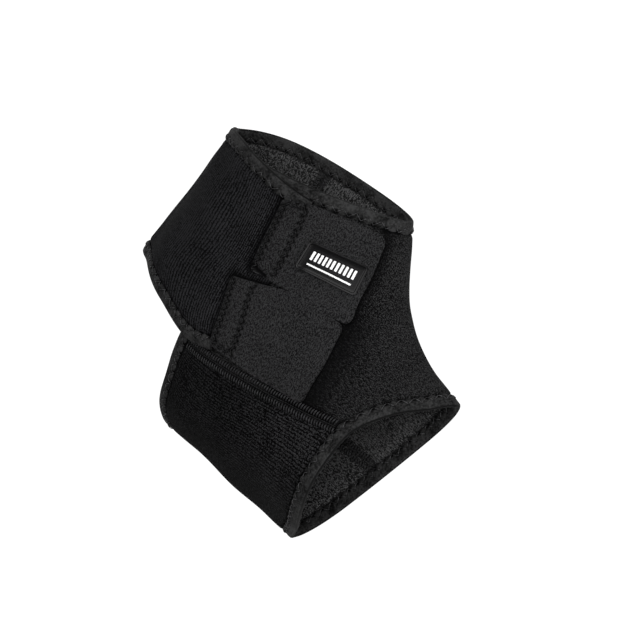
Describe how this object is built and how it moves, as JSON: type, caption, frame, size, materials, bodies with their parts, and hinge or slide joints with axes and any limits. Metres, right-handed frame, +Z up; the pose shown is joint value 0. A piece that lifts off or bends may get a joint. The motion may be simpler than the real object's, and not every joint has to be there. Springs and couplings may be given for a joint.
{
  "type": "ankle brace",
  "caption": "Ankle brace of padded stretch fabric lying on its side, with an open heel, taped edges, and a flap held over the instep by two stitched hook straps with a small rubber label.",
  "frame": {"origin": "centre of the bounding box, on the surface that the brace lies on", "axes": "+Z up, out of the upper side of the lying brace; +X towards the toes along the longest extent; +Y up the leg"},
  "size_m": [0.1848, 0.1716, 0.0575],
  "materials": {
    "jersey": "fine ribbed knit, matt black",
    "loop_fabric": "rough unbroken loop knit, matt black",
    "strap_fabric": "smooth brushed fabric, black",
    "edge_tape": "smooth woven tape, black",
    "seam_thread": "thread of a flat seam, black",
    "label_rubber": "smooth, slightly glossy, black"
  },
  "bodies": {
    "root": {"cuff_flap": "jersey", "foot_band": "jersey", "instep_panel": "loop_fabric", "leg_binding": "edge_tape", "toe_binding": "edge_tape", "heel_binding": "edge_tape", "near_seam": "seam_thread", "far_foot_seam": "seam_thread", "far_leg_seam": "seam_thread", "upper_strap": "strap_fabric", "lower_strap": "strap_fabric", "label_patch": "label_rubber"}
  },
  "joints": []
}
